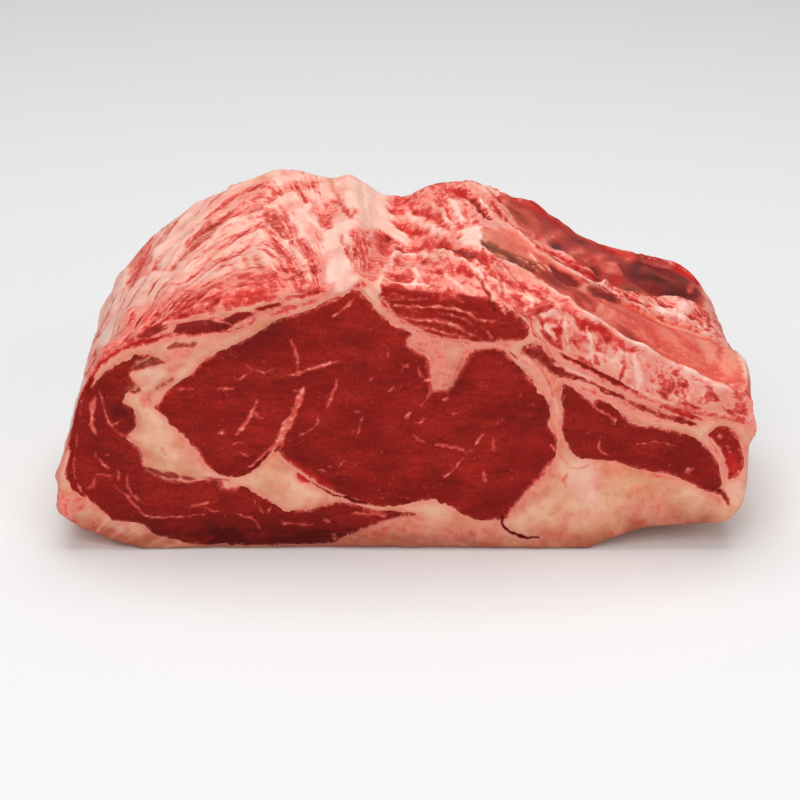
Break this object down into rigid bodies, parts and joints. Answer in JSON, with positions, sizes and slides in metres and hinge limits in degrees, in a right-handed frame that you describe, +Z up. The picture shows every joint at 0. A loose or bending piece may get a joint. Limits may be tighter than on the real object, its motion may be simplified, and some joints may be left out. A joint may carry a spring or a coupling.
{
  "type": "beef rib roast",
  "caption": "Raw beef rib roast on the bone, lying on its fat cap, with marbled muscles, seams of fat and flat rib bones running through it.",
  "frame": {"origin": "centre of the bounding box on the surface that the roast lies on", "axes": "+X to the right along the cut face towards the rib ends, +Y away through the roast's thickness, +Z up"},
  "size_m": [0.2756, 0.11, 0.1245],
  "materials": {
    "lean": "moist raw lean beef, dark red with thin pink marbling",
    "marbled_flesh": "moist marbled flesh and membrane, pink and white with red streaks",
    "fat": "smooth raw fat, pale peach with pink stains",
    "bone": "rib bone under a wet thin membrane, salmon red with grey patches"
  },
  "bodies": {
    "root": {"eye_muscle": "lean", "cap_muscle": "lean", "under_rib_muscle": "lean", "rib_muscle": "lean", "rib_end_muscle": "lean", "upper_muscle": "lean", "side_flesh": "marbled_flesh", "rib_flesh": "marbled_flesh", "fat_body": "fat", "rib_bone_front": "bone", "rib_bone_back": "bone"}
  },
  "joints": []
}
